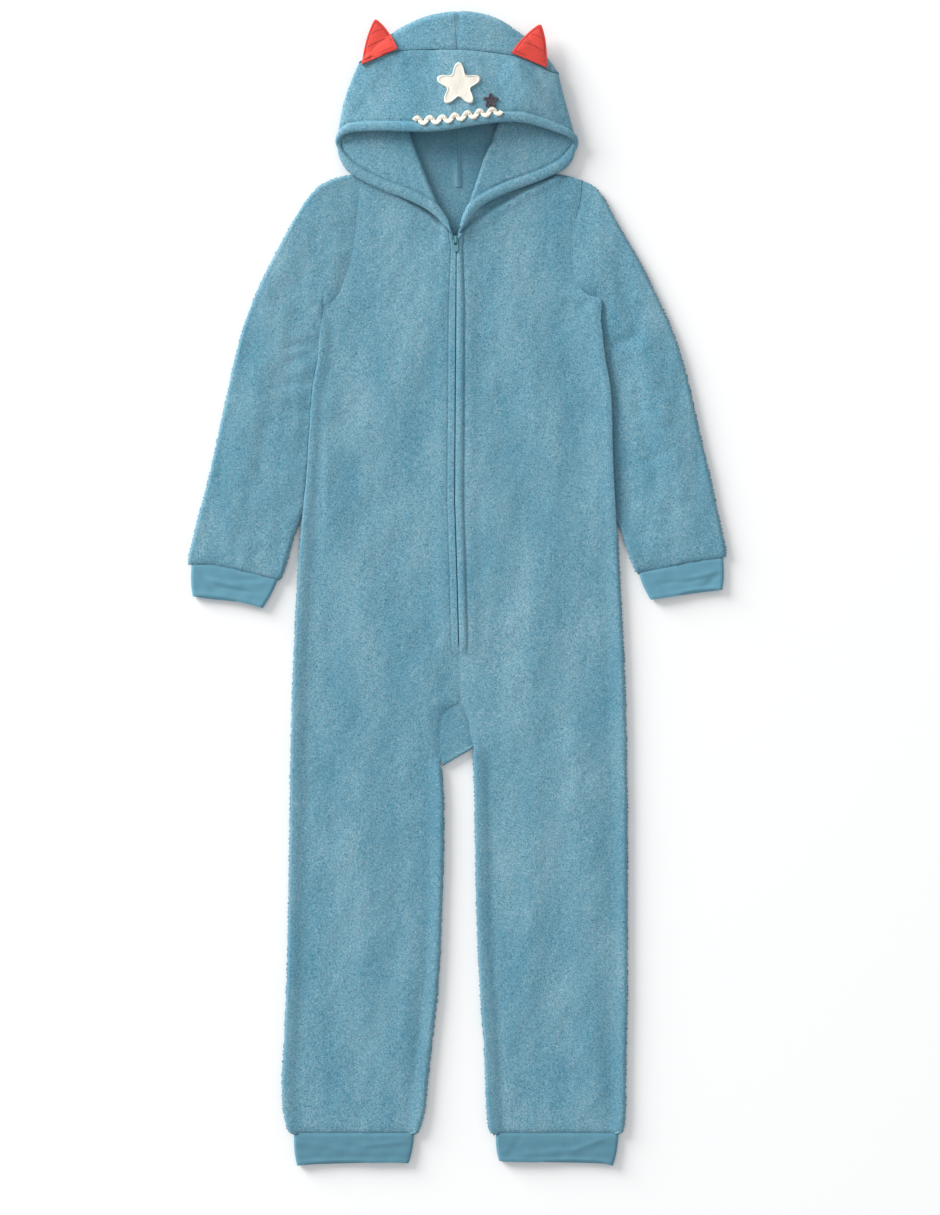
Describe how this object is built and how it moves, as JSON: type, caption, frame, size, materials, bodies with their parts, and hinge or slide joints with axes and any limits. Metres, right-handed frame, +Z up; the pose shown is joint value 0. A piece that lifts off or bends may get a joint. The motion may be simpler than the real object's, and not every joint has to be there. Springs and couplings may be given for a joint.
{
  "type": "hooded onesie pajama",
  "caption": "Child's hooded one-piece plush fleece pajama with front zip, knit cuffs, felt ears and star applique, laid flat on its back.",
  "frame": {"origin": "middle of the garment's outline, on the surface it lies on", "axes": "+Z up from the surface, through the front; +Y from the ankle cuffs to the hood; +X towards the wearer's left sleeve"},
  "size_m": [0.6476, 1.382, 0.0331],
  "materials": {
    "plush": "short mottled plush fleece, matt with a soft sheen",
    "knit": "fine smooth jersey knit",
    "red_felt": "matt felt with darker stitching",
    "cream_felt": "matt felt with a satin-stitched edge",
    "charcoal_felt": "matt felt",
    "cream_braid": "woven wavy braid",
    "zip_tape": "woven tape",
    "zip_plastic": "moulded plastic"
  },
  "bodies": {
    "garment": {"back": "plush", "front_right": "plush", "front_left": "plush", "gusset": "plush", "sleeve_right": "plush", "sleeve_left": "plush", "hood_band": "plush", "hood_crown_right": "plush", "hood_crown_left": "plush", "wrist_cuff_right": "knit", "wrist_cuff_left": "knit", "ankle_cuff_right": "knit", "ankle_cuff_left": "knit", "ear_right": "red_felt", "ear_left": "red_felt", "star_large": "cream_felt", "star_small": "charcoal_felt", "braid": "cream_braid", "zip_tape_right": "zip_tape", "zip_tape_left": "zip_tape", "zip_coil": "zip_plastic", "zip_slider": "zip_plastic"},
    "pull_tab": {"zip_pull_tab": "zip_plastic"}
  },
  "joints": [
    {"name": "pull_tab_hinge", "type": "hinge", "parent": "garment", "child": "pull_tab", "pos_m": [-0.001, 0.4164, 0.0103], "axis": [-1, 0, 0], "range_deg": [0, 120]}
  ]
}
